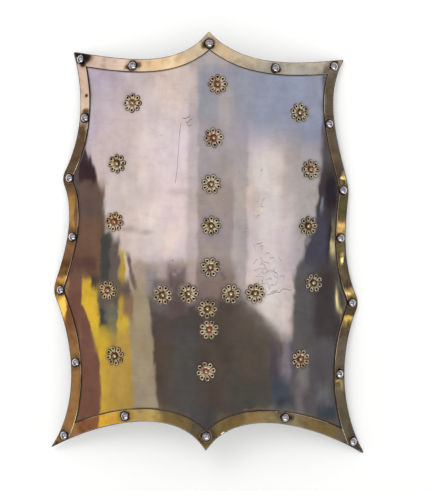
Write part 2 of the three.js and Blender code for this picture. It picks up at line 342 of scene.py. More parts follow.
# ---- looks -----------------------------------------------------------------------------------------------


class Tree:
    """Adds nodes to a node tree. An input's value is a plain value, or another node's output."""

    def __init__(self, tree):
        self.tree = tree
        tree.nodes.clear()

    def put(self, kind, inputs, output=0, **settings):
        node = self.tree.nodes.new(kind)
        for setting, value in settings.items():
            setattr(node, setting, value)
        for key, value in inputs.items():
            self.join(node.inputs[key], value)
        return node.outputs[output] if node.outputs else None

    def join(self, socket, value):
        if isinstance(value, bpy.types.NodeSocket):
            self.tree.links.new(value, socket)
        else:
            socket.default_value = value

    def math(self, operation, first, second=0.0):
        return self.put("ShaderNodeMath", {0: first, 1: second}, operation=operation)

    def mix(self, amount, first, second):
        """One colour turned into another."""
        colours = [c if isinstance(c, bpy.types.NodeSocket) else (*c, 1) for c in (first, second)]
        inputs = {0: amount, 6: colours[0], 7: colours[1]}
        return self.put("ShaderNodeMix", inputs, output=2, data_type="RGBA")

    def between(self, value, low, high, start=0.0, end=1.0):
        """From start to end as the value goes from low to high, and level outside them."""
        inputs = {0: value, 1: low, 2: high, 3: start, 4: end}
        return self.put("ShaderNodeMapRange", inputs, interpolation_type="SMOOTHSTEP")

    def within(self, value, span, soft):
        """1 while the value is in a span and 0 while it isn't, with soft ends."""
        away = self.math("ABSOLUTE", self.math("SUBTRACT", value, sum(span) / 2))
        half = (span[1] - span[0]) / 2
        return self.between(away, half - soft, half + soft, 1, 0)

    def noise(self, wavelength, seed, detail=2.0, stretch=(1, 1, 1)):
        """Noise about 0.5. Its waves are as long as stated, in metres, and stretched along X, Y and Z."""
        coordinates = self.put("ShaderNodeTexCoord", {}, output="Object")
        scale = tuple(1 / (wavelength * part) for part in stretch)
        place = self.put("ShaderNodeMapping", {0: coordinates, 1: (seed * 7.1, seed * 3.3, seed), 3: scale})
        return self.put("ShaderNodeTexNoise", {"Vector": place, "Scale": 1.0, "Detail": detail})

    def mark(self, name):
        """The value that make_piece() left at each point."""
        return self.put("ShaderNodeAttribute", {}, output="Fac", attribute_name=name)

    def bump(self, height, distance):
        return self.put("ShaderNodeBump", {"Height": height, "Distance": distance})


def make_material(name, colour, roughness, normal=None, metallic=1.0):
    """A material. Its colour, roughness and normal are functions that build them in the tree they get."""
    material = bpy.data.materials.new(name)
    material.use_nodes = True
    tree = Tree(material.node_tree)
    inputs = {"Base Color": colour(tree), "Roughness": roughness(tree), "Metallic": metallic}
    if normal:
        inputs["Normal"] = normal(tree)
    shader = tree.put("ShaderNodeBsdfPrincipled", inputs)
    tree.put("ShaderNodeOutputMaterial", {"Surface": shader})
    return material


def plate_steel():
    """Polished plate, tinted unevenly, with hazy smears and fine scratches, darkened with dirt and painted
    shade by the brass.
    """

    def colour(t):
        base = t.mix(t.between(t.noise(0.11, 1), 0.42, 0.62), (0.60, 0.585, 0.57), (0.575, 0.55, 0.59))
        base = t.mix(t.between(t.noise(0.07, 2), 0.5, 0.68), base, (0.61, 0.575, 0.545))
        base = t.mix(t.between(t.noise(0.05, 3, 5), 0.5, 0.75, 0, 0.5), base, (0.44, 0.42, 0.42))
        base = t.mix(t.between(t.noise(0.012, 7, 4), 0.45, 0.75, 0, 0.45), base, (0.50, 0.47, 0.47))
        wiped = t.noise(0.007, 6, 5, stretch=(4, 1, 1))
        base = t.mix(t.between(wiped, 0.5, 0.75, 0, 0.4), base, (0.47, 0.45, 0.46))
        base = t.mix(t.between(t.noise(0.006, 4, 3), 0.72, 0.76, 0, 0.35), base, (0.20, 0.16, 0.14))
        base = t.mix(t.math("MULTIPLY", t.mark("scratch"), 0.8), base, (0.09, 0.08, 0.08))
        # The plate is darkened by dirt and stains, and by painted shade along the brass strips and under and
        # round the rosettes.
        return t.mix(t.mark("shade_and_dirt"), base, (0.03, 0.022, 0.018))

    def roughness(t):
        haze = t.between(t.noise(0.06, 5, 4), 0.4, 0.7, 0.02, 0.065)
        return t.math("ADD", haze, t.math("MULTIPLY", t.mark("shade_and_dirt"), 0.4))

    def normal(t):
        return t.bump(t.math("SUBTRACT", 1.0, t.mark("scratch")), 0.05 * MM)

    return make_material("plate steel", colour, roughness, normal)


def edging_brass():
    """Aged brass sheet, browner in places, burnt in patches, and dark round each rivet head with tarnish and
    painted shadow.
    """

    def colour(t):
        base = t.mix(t.between(t.noise(0.05, 11, 3), 0.4, 0.62), (0.85, 0.735, 0.51), (0.77, 0.64, 0.40))
        base = t.mix(t.between(t.noise(0.014, 12, 4), 0.46, 0.74, 0, 0.55), base, (0.42, 0.31, 0.18))
        base = t.mix(t.math("MULTIPLY", t.mark("smear"), 0.8), base, (0.20, 0.125, 0.07))
        # Burns in patches, and round each rivet head a dark ring that is tarnish and painted shadow.
        return t.mix(t.math("MULTIPLY", t.mark("burnt_and_shaded"), 0.95), base, (0.036, 0.022, 0.02))

    def roughness(t):
        return t.math("ADD", t.between(t.noise(0.012, 13, 4), 0.35, 0.7, 0.02, 0.07), t.mark("burnt_and_shaded"))

    def normal(t):
        return t.bump(t.noise(0.003, 14, 4), 0.002 * MM)

    return make_material("edging brass", colour, roughness, normal)


def rosette_brass():
    """Bright cast brass, dark in its low places and down the sides of its wires: patina, and painted shade.
    """

    def colour(t):
        uneven = t.math("ADD", t.noise(0.002, 21, 3), t.between(t.noise(0.009, 25), 0.3, 0.7, -0.4, 0.4))
        # Dark where the rosette is low, in the dished hub and down the sides of every wire: patina and
        # painted shade; bright on the crests.
        worn = t.math("ADD", t.mark("height"), t.math("MULTIPLY", uneven, 0.5))
        bright = t.mix(t.between(t.noise(0.02, 22), 0.4, 0.6), (0.86, 0.79, 0.57), (0.80, 0.69, 0.44))
        patina_and_shade = t.mix(t.mark("red"), (0.15, 0.10, 0.05), (0.36, 0.14, 0.09))
        return t.mix(t.between(worn, 0.82, 1.32), patina_and_shade, bright)

    def roughness(t):
        return t.between(t.noise(0.003, 23, 3), 0.3, 0.7, 0.2, 0.4)

    def normal(t):
        return t.bump(t.noise(0.0012, 24, 3), 0.08 * MM)

    return make_material("rosette brass", colour, roughness, normal)


def stud_copper():
    """Copper, some of it redder."""

    def colour(t):
        pale = t.mix(t.between(t.noise(0.004, 31, 3), 0.4, 0.65), (0.97, 0.84, 0.66), (0.80, 0.64, 0.44))
        return t.mix(t.mark("red"), pale, (0.80, 0.44, 0.32))

    def roughness(t):
        return t.between(t.noise(0.002, 32, 3), 0.3, 0.7, 0.04, 0.13)

    return make_material("stud copper", colour, roughness)


def rivet_steel():
    """Hammered steel, dark round its foot: tarnish, and painted shade on the steep lower edge of its head.
    """

    def colour(t):
        bright = t.mix(t.between(t.noise(0.005, 41, 3), 0.4, 0.7), (0.74, 0.74, 0.79), (0.50, 0.50, 0.56))
        # dark at the foot: tarnish, and painted shade on the head's steep lower edge
        return t.mix(t.mark("foot"), bright, (0.03, 0.026, 0.026))

    def roughness(t):
        return t.between(t.noise(0.002, 42, 3), 0.3, 0.7, 0.14, 0.3)

    def normal(t):
        return t.bump(t.noise(0.0016, 43, 3), 0.06 * MM)

    return make_material("rivet steel", colour, roughness, normal)


def pale_floor():
    def colour(t):
        return t.mix(t.noise(0.3, 51), (0.93, 0.93, 0.92), (0.95, 0.95, 0.94))

    def roughness(t):
        return t.between(t.noise(0.1, 52), 0.3, 0.7, 0.85, 0.95)

    return make_material("pale floor", colour, roughness, metallic=0.0)


# ---- the shape of a rosette ------------------------------------------------------------------------------

PETALS = 8
PETAL_AT = 10.4 * MM  # from the stud to the middle of a petal's hole
PETAL_RADIUS = 3.55 * MM
PETAL_HOLE = 1.15 * MM
PETAL_ARC = math.radians(118)  # how far round a petal's edge goes, each way from its tip
PETAL_POINTS = 19
HOLE_POINTS = 15
VALLEY = 5.8 * MM  # the notches between the petals reach in to here
NOTCH = 0.4  # of the way from a petal to the valley, where a notch's slope bends
HUB = 4.2 * MM  # a low ring round the stud
HUB_WIDTH = 0.7 * MM
HUB_RISE = 0.2  # of the rosette's own rise
DISH = 6.2 * MM  # inside this the rosette is dished
DISH_SLOPE = 1.8 * MM
DISH_DEPTH = 0.6  # of the rosette's own rise
STUD_HOLE = 1.3 * MM
STUD_HOLE_POINTS = 12
ROSETTE_LOW = 0.15 * MM
ROSETTE_EDGE = 0.45 * MM  # thickness at the edges
ROSETTE_CROWN = 1.1 * MM  # how much thicker it is in the middle of its wires
WIRE = 1.0 * MM  # half the width of a wire, over which it rounds up
ROSETTE_SPACING = 0.52 * MM


def polar(radius, angle):
    return radius * np.array([math.cos(angle), math.sin(angle)])


def round_hole(middle, radius, count):
    return [middle + polar(radius, -t) for t in np.linspace(0, 2 * math.pi, count + 1)[:-1]]


def rosette_loops():
    """Eight pierced petals round a hub: the outline, the petals' holes and the hole for the stud."""
    petal = 2 * math.pi / PETALS
    outline, holes = [], []
    for i in range(PETALS):
        middle = polar(PETAL_AT, i * petal)
        for t in np.linspace(-1, 1, PETAL_POINTS):
            outline.append(middle + polar(PETAL_RADIUS, i * petal + t * PETAL_ARC))
        valley = polar(VALLEY, (i + 0.5) * petal)
        outline += [outline[-1] * (1 - NOTCH) + valley * NOTCH, valley]
        after = polar(PETAL_AT, (i + 1) * petal) + polar(PETAL_RADIUS, (i + 1) * petal - PETAL_ARC)
        outline.append(after * (1 - NOTCH) + valley * NOTCH)
        holes.append(round_hole(middle, PETAL_HOLE, HOLE_POINTS))
    holes.append(round_hole(np.zeros(2), STUD_HOLE, STUD_HOLE_POINTS))
    return [np.array(loop) for loop in [outline, *holes]]


ROSETTE_LOOPS = rosette_loops()


def turned(name):
    """Which way a rosette is turned, as a matrix for its points. It is different for each."""
    turn = random.Random(name).uniform(0, 2 * math.pi)
    return np.array([[math.cos(turn), math.sin(turn)], [-math.sin(turn), math.cos(turn)]])


def rosette_edge(name):
    """A rosette's outline, where it lies on the flat sheet."""
    return ROSETTE_LOOPS[0] @ turned(name) + ROSETTES[name]


def rosette_relief(points):
    """How high a rosette stands at a point, from 0 at its edges to 1 along its wires."""
    from_edge = distances(points, np.vstack(ROSETTE_LOOPS))
    rounded = np.sqrt(1 - (1 - (from_edge / WIRE).clip(0, 1)) ** 2)
    out = np.linalg.norm(points, axis=1)
    dished = ((DISH - out) / DISH_SLOPE).clip(0, 1)
    ring = np.exp(-(((out - HUB) / HUB_WIDTH) ** 2))
    return rounded * (1 - DISH_DEPTH * dished + HUB_RISE * ring)


# ---- plate -----------------------------------------------------------------------------------------------

PLATE_SPACING = 3.2 * MM
PLATE_BEVEL = 0.3 * MM
RIM_ROW = 3 * MM  # a row of points runs along the plate's edge, this far in
RIM_CLEARANCE = 1.5 * MM  # and no other row comes nearer than this
HOLE_CLEARANCE = 0.5 * MM
CIRCLE_SPACING = 2.4 * MM
ROSETTE_CIRCLES = (3 * MM, 5 * MM, 10.6 * MM)  # rows of points under each rosette
STRIP_ROWS = (0.1 * MM, 1.3 * MM, 2.8 * MM)  # rows of points beside the brass strips, for the dirt and painted shade there
ROSETTE_ROWS = (-0.1 * MM, 0.4 * MM, 0.95 * MM, 2.3 * MM)  # and just in and round each rosette's outline

# Painted shade: the plate is darkened along the step up to each brass strip and under and round each
# rosette, with dirt there too.
STRIP_SHADE_AND_DIRT = 1.5 * MM  # dirt and painted shade reach this far from the brass strips in the shield's middle,
SIDE_SHADE_AND_DIRT = 1.2 * MM  # this much further for each SIDE_AT to the side of it,
SIDE_AT = 150 * MM
SHADE_AND_DIRT_WAVER = 1.0 * MM  # and more or less by this from place to place,
LEAST_SHADE_AND_DIRT = 0.6 * MM  # but never less than this
STRIP_DARKNESS = 1.4  # over 1, so the dirt and painted shade are solid right beside the brass
ROSETTE_SHADE_AND_DIRT = 0.9 * MM  # painted shade, with dirt, fills each rosette's underside and reaches this far out from it,
ROSETTE_SHADOW_REACH = 3.6 * MM  # and a faint painted shadow this far
ROSETTE_SHADOW_DARKNESS = 0.24
ROSETTE_NEAR = 20 * MM  # further than either from a rosette's middle

SCRATCH_HALF_WIDTH = 0.4 * MM
SCRATCH_CORE = 0.3  # of the half width
SCRATCH_STEP = 1.2 * MM
SCRIBBLE_COUNT = 40
MAIN_PATCH = ((88, -44), (9, 15))  # the middle of the scribbles and how widely they are spread, in mm
OTHER_PATCH = ((66, 56), (9, 30))  # where one in four of them is


def wandering(start, heading, length, curl, jitter, seed):
    """A scratch, as flat points. It starts at a place, in mm, heads off at an angle, and turns by the curl,
    in degrees, and by a random angle at each step."""
    draw = random.Random(seed)
    heading = math.radians(heading)
    points = [np.array(start) * MM]
    for _ in range(round(length * MM / SCRATCH_STEP)):
        heading += math.radians(curl) + draw.gauss(0, jitter)
        points.append(points[-1] + polar(SCRATCH_STEP, heading))
    return np.array(points)


def scribbles():
    """Short jagged marks on the right, most of them in one patch, and a loop among them."""
    draw = random.Random(5)
    found = []
    for i in range(SCRIBBLE_COUNT):
        middle, spread = MAIN_PATCH if i % 4 else OTHER_PATCH
        start = (draw.gauss(middle[0], spread[0]), draw.gauss(middle[1], spread[1]))
        found.append(wandering(start, draw.uniform(0, 360), draw.uniform(3, 9), draw.gauss(0, 9), 0.6, i))
    found.append(wandering((84, -45), heading=95, length=54, curl=-7.6, jitter=0.12, seed=112))
    return found


SCRATCHES = [
    wandering(start=(-41, 168), heading=-97, length=84, curl=-0.2, jitter=0.02, seed=101),
    wandering(start=(-34, 171), heading=-70, length=12, curl=9, jitter=0.4, seed=102),
    wandering(start=(-27, 166), heading=200, length=12, curl=-12, jitter=0.4, seed=103),
    wandering(start=(-38, 176), heading=10, length=14, curl=3, jitter=0.4, seed=106),
    wandering(start=(89, -73), heading=12, length=40, curl=0, jitter=0.45, seed=111),
]
SCRIBBLES = scribbles()
STAINS = [  # the middle of each and how far it reaches across and up, in mm, and how dark it is
    ((-50, -27), (2.5, 2.5), 0.4),
    ((-40, -40), (4, 4), 0.4),
    ((-46, -46), (3, 3), 0.4),
    ((22, -44), (5, 5), 0.4),
    ((25, -50), (4, 4), 0.4),
    ((-42, 71), (24, 8), 0.16),
    ((-112, 17), (24, 6), 0.24),
    ((-90, 13), (18, 6), 0.2),
]


def circle_at(place, radius):
    count = round(2 * math.pi * radius / CIRCLE_SPACING)
    return np.array([place + polar(radius, 2 * math.pi * i / count) for i in range(count)])


def beside(line, by):
    """A row of points beside an open line."""
    return line + by * left_of(unit(np.gradient(line, axis=0)))


def shade_and_dirt_at(points):
    """Painted shade and dirt by the strips and under the rosettes, painted shadow round them, and stains."""
    edges = np.vstack([loops[0] for loops in STRIPS.values()])
    # painted shade, with dirt, along the step up to the brass strips
    reach = STRIP_SHADE_AND_DIRT + SIDE_SHADE_AND_DIRT * abs(points[:, 0]) / SIDE_AT + SHADE_AND_DIRT_WAVER * noise_at(points, 30 * MM, 5)
    darkening = STRIP_DARKNESS * (1 - distances(points, edges) / reach.clip(LEAST_SHADE_AND_DIRT))
    for name, place in ROSETTES.items():
        near = np.linalg.norm(points[:, :2] - place, axis=1) < ROSETTE_NEAR
        edge = rosette_edge(name)
        away = distances(points[near], edge) * np.where(inside(points[near], edge), -1, 1)
        # painted shade under each rosette, seen through its holes and as a thin dark edge round it, with
        # dirt
        darkening[near] = np.maximum(darkening[near], 1 - away / ROSETTE_SHADE_AND_DIRT)
        # and a faint painted shadow round each rosette
        away += 1.2 * MM * noise_at(points[near], 7 * MM, 17)
        darkening[near] = np.maximum(darkening[near], ROSETTE_SHADOW_DARKNESS * (1 - away / ROSETTE_SHADOW_REACH))
    for place, reach, darkness in STAINS:
        away = np.linalg.norm((points[:, :2] / MM - place) / reach, axis=1)
        away += 0.25 * noise_at(points, 8 * MM, 16)
        darkening = np.maximum(darkening, darkness * (1 - away**2))
    return darkening.clip(0, 1)


def make_plate(material):
    loops = face_loops("plate", 0)
    loops[0] = smoothed(loops[0], PLATE_SPACING)
    rows = [inset(loops[0], RIM_ROW)]
    for strip in STRIPS.values():
        rows += [inset(strip[0], -reach) for reach in STRIP_ROWS]
    for rosette in ROSETTES:
        rows += [inset(rosette_edge(rosette), -reach) for reach in ROSETTE_ROWS]
        rows += [circle_at(ROSETTES[rosette], radius) for radius in ROSETTE_CIRCLES]
    for scratch in SCRATCHES + SCRIBBLES:
        rows += [scratch, beside(scratch, SCRATCH_HALF_WIDTH), beside(scratch, -SCRATCH_HALF_WIDTH)]
    extra = np.vstack(rows)
    extra = extra[inside(extra, inset(loops[0], RIM_CLEARANCE))]
    for bore in loops[1:]:
        extra = extra[~inside(extra, inset(bore, -HOLE_CLEARANCE))]
    flat, faces = sheet_solid(loops, PLATE_SPACING, -SHEET, 0, PLATE_BEVEL, extra)
    core = SCRATCH_CORE * SCRATCH_HALF_WIDTH
    scratched = 1.0 * (distances(flat, np.vstack(SCRATCHES)) < core)
    scratched += 0.5 * (distances(flat, np.vstack(SCRIBBLES)) < core)
    is_face = flat[:, 2] > -SHEET / 2
    # the plate's darkening: dirt and stains, and painted shade by the strips and the rosettes
    marks = {"shade_and_dirt": shade_and_dirt_at(flat) * is_face, "scratch": scratched * is_face}
    make_piece("plate_sheet", roll(flat), faces, material, ["plate"], marks, sharp=30)


# ---- brass edging ----------------------------------------------------------------------------------------

STRIP_SPACING = 1.7 * MM
STRIP_BEVEL = 0.25 * MM
RIPPLE = 0.014 * MM
BURN_AND_SHADE_REACH = 8.6 * MM  # the brass is dark this far from every rivet's middle: tarnish, and painted shadow round the head
BURN_AND_SHADE_EDGE = 2 * MM
SMEAR_REACH = 15 * MM  # and brown to here
SMEAR_EDGE = 8 * MM
SMEAR_DARKNESS = 0.6
PATCH_REACH = 1.25  # of its radius; a further patch is burnt to here,
PATCH_EDGE = 0.7  # with an edge so wide,
PATCH_SMEAR = 1.7  # and brown to here

# Further burnt patches on the brass: the rivet each is at, how far across and up from it the patch is, its
# radius, in mm, and how dark it is.
BURNS = [
    ("rivet_top_left", (-5, 8), 6, 0.85),
    ("rivet_top_left", (4, -6), 5, 0.85),
    ("rivet_top_left", (9, 3), 9, 0.85),
    ("rivet_top_left", (11, -54), 2.2, 0.7),
    ("rivet_top_left_to_crest", (-8, -1), 4, 0.6),
    ("rivet_top_left_to_crest", (9, 1), 4, 0.3),
    ("rivet_left_upper_to_top_left", (1, 9), 4.5, 0.35),
    ("rivet_crest", (-7, -3), 4, 0.6),
    ("rivet_toe", (-6, 3), 4, 0.6),
    ("rivet_foot_left", (4, -6), 4, 0.6),
    ("rivet_foot_left", (-12, -14), 4, 0.7),
    ("rivet_foot_right", (7, -8), 4, 0.6),
    ("rivet_foot_right_to_toe", (9, 0), 4, 0.7),
    ("rivet_top_right", (3, 8), 4, 0.6),
]


def make_strips(material):
    for name, loops in STRIPS.items():
        flat, faces = sheet_solid(loops, STRIP_SPACING, SEAT, SEAT + TRIM, STRIP_BEVEL)
        flat[:, 2] += RIPPLE * noise_at(flat, 13 * MM, 6)
        from_rivets = distances(flat, list(RIVETS.values()))
        rough = 1.2 * MM * noise_at(flat, 6 * MM, 7) + 0.8 * MM * noise_at(flat, 2.5 * MM, 15)
        # round each rivet head a dark ring: tarnish, and painted shadow where the head stands on the brass
        burnt_and_shaded = (BURN_AND_SHADE_REACH - from_rivets - rough) / BURN_AND_SHADE_EDGE
        smear = SMEAR_DARKNESS * (SMEAR_REACH - from_rivets - 2 * rough) / SMEAR_EDGE
        for rivet, offset, radius, darkness in BURNS:
            away = np.linalg.norm(flat[:, :2] - RIVETS[rivet] - np.array(offset) * MM, axis=1) + rough
            out = away / (radius * MM)
            burnt_and_shaded = np.maximum(burnt_and_shaded, darkness * ((PATCH_REACH - out) / PATCH_EDGE).clip(0, 1))
            smear = np.maximum(smear, (PATCH_SMEAR - out).clip(0, 1))
        marks = {"burnt_and_shaded": burnt_and_shaded.clip(0, 1), "smear": smear.clip(0, 1)}
        piece = name.replace("trim", "strip")
        make_piece(piece, roll(flat), faces, material, [name], marks, sharp=30)


# ---- rivets ----------------------------------------------------------------------------------------------

RIVET_HEAD = (6.2 * MM, 4.3 * MM)  # radius and height
RIVET_FOOT = 1.3 * MM  # the head starts this high over the sheet's face
RIVET_SHANK = 2.9 * MM
RIVET_TAIL = (4.3 * MM, 1.3 * MM)
HEAD_EDGE = 0.25 * MM  # a head's foot is chamfered this high
HAMMERED_ABOVE = 1.5 * MM  # the part of a rivet higher than this is its head
HAMMERING = 0.14 * MM  # how deep the hammer marks are
DRAWN_IN = 0.035  # of its radius; a head is hammered in by about so much
MOST_SQUASHED = 0.95  # of its width; no head is squashed further
DARK_BELOW = 2.6 * MM  # a rivet is dark below this: tarnish, and painted shade on the steep lower edge of its head
DARK_EDGE = 0.9 * MM
RIVET_LEAN = 0.02  # radians, more or less


def dome(radius, height, foot, rings):
    """The profile of a head, from its foot up to its crown."""
    quarter = [math.pi / 2 * i / rings for i in range(rings + 1)]
    return [(radius * math.cos(a), foot + height * math.sin(a)) for a in quarter]


def headed_pin(head, foot, shank, tail, sides, rings):
    """A pin's points and faces. Its head, and its tail behind the sheet, are (radius, height)."""
    behind = -SHEET - SEAT
    profile = [(0, behind - tail[1]), (0.75 * tail[0], behind - tail[1]), (tail[0], behind - 0.5 * tail[1])]
    profile += [(tail[0], behind), (shank, behind), (shank, foot), (0.94 * head[0], foot)]
    profile += dome(*head, foot + HEAD_EDGE, rings)
    return lathe(profile, sides)


def make_rivets(material):
    draw = random.Random(3)
    points, faces = headed_pin(RIVET_HEAD, RIVET_FOOT, RIVET_SHANK, RIVET_TAIL, sides=40, rings=10)
    for name, place in RIVETS.items():
        seed = draw.uniform(0, 90)
        hammered = points.copy()
        is_head = points[:, 2] > HAMMERED_ABOVE
        around = np.column_stack([points[:, 0] + seed, points[:, 1]])
        out = 1 - DRAWN_IN * is_head * (1 + noise_at(around, 5 * MM, 9))
        hammered[:, :2] *= out[:, None]
        hammered[:, 2] += is_head * HAMMERING * noise_at(around, 3.5 * MM, 10)
        squash = draw.uniform(MOST_SQUASHED, 1.0)
        hammered[:, 0] *= np.where(is_head, squash, 1)
        lean = (draw.gauss(0, RIVET_LEAN), draw.gauss(0, RIVET_LEAN))
        # dark at the foot: tarnish, and painted shade on the head's steep lower edge
        marks = {"foot": ((DARK_BELOW - points[:, 2]) / DARK_EDGE).clip(0, 1)}
        stood = stand_on(hammered, place, lean)
        piece = name.replace("rivet", "rivet_head")
        make_piece(piece, stood, faces, material, [name], marks)


# ---- rosettes --------------------------------------------------------------------------------------------

STUD_HEAD = (2.85 * MM, 2.0 * MM)
STUD_FOOT = 0.95 * MM
STUD_SHANK = 1.1 * MM
STUD_TAIL = (2.8 * MM, 0.9 * MM)
LIFT = 0.3 * MM  # a rosette's petals are bent up by about this
PITTING = 0.08 * MM
CASTING_WOBBLE = 0.25 * MM
REDNESS = (0.0, 0.0, 0.15, 0.5)  # a rosette's is one of these
STUD_LEAN = 0.03  # radians, more or less


def make_rosettes(brass, copper):
    """Each rosette is the same casting, turned, bent up and worn in its own way, with a stud through it."""
    draw = random.Random(8)
    points, triangles = triangulate(ROSETTE_LOOPS, ROSETTE_SPACING)
    relief = rosette_relief(points)
    out = np.linalg.norm(points, axis=1) / (PETAL_AT + PETAL_RADIUS)
    count = len(points)
    faces = triangles.tolist() + (triangles[:, ::-1] + count).tolist() + wall(ROSETTE_LOOPS, 0, count)
    pin, pin_faces = headed_pin(STUD_HEAD, STUD_FOOT, STUD_SHANK, STUD_TAIL, sides=28, rings=8)
    for name, place in ROSETTES.items():
        seed = draw.uniform(0, 60)
        bent = LIFT * out**2 * (1 + noise_at(points + seed * MM, 9 * MM, 11))
        top = ROSETTE_LOW + ROSETTE_EDGE + ROSETTE_CROWN * relief + bent
        top += PITTING * noise_at(points + seed * MM, 1.5 * MM, 12)
        wobble = np.column_stack([noise_at(points + seed * MM, 6 * MM, axis) for axis in (13, 14)])
        places = (points + CASTING_WOBBLE * wobble) @ turned(name) + place
        heights = np.concatenate([top, ROSETTE_LOW + bent]) + dents([place])[0]
        flat = np.column_stack([np.vstack([places, places]), heights])
        red = draw.choice(REDNESS)
        marks = {"height": np.concatenate([relief, 0 * relief]), "red": np.full(2 * count, red)}
        make_piece(f"brass_{name}", roll(flat), faces, brass, [name], marks)
        lean = (draw.gauss(0, STUD_LEAN), draw.gauss(0, STUD_LEAN))
        marks = {"red": np.full(len(pin), 0.15 + 1.3 * red)}
        make_piece(f"stud_{name}", stand_on(pin, place, lean), pin_faces, copper, marks=marks)


# ---- surroundings, lights and camera ---------------------------------------------------------------------


def linear(colour):
    """A colour of 0 to 255 as seen, to the light that makes it."""
    return tuple(((c / 255 + 0.055) / 1.055) ** 2.4 for c in colour)


STEEL_SHINE = 0.59  # how much of its surroundings the plate gives back
PLAIN_LIGHT = 0.97
RAGGED = (3.5, 0.8)  # the screens' edges waver in lumps this many degrees across and up,
RAGGED_BY = (0.8, 0.16)  # by so many degrees
CLOUDS = (7, 1.8)  # the screens are uneven in patches this many degrees across and up
CLOUDS_LIGHT = (0.92, 1.08)  # from the dimmest to the brightest,
CLOUDS_SCALE = 0.45  # and are tinted in patches larger by one over this
GRAZING = (0.12, 0.42)  # cosines from straight out of the shield; the screens dim from one to the other
GRAZING_LIGHT = 0.12  # what is left of their light at the first
KEY_AT = (-0.7, 0.9, 1.7)
KEY_SIZE = 0.9
KEY_POWER = 9
FLOOR_HALF = 4.0
CAMERA_AT = (0.011, -0.004, 1.32)  # over the shield's middle
CAMERA_TURN = math.radians(1.2)
CAMERA_LENS = 68.16


@dataclass
class Screen:
    """A soft-edged screen that the shield mirrors. Its colour is as it looks in the plate, of 0 to 255, or
    more for a glint. Its spans are in degrees from straight out of the shield. It leans so far across for
    each degree up, and its top and bottom slope so far up for each degree across."""

    colour: tuple
    across: tuple
    up: tuple
    soft: tuple = (1, 1)
    lean: float = 0
    slope: float = 0


AROUND = (-200, 200)
BELOW = -20  # the room's screens stop here, and only the domed heads mirror what is further down

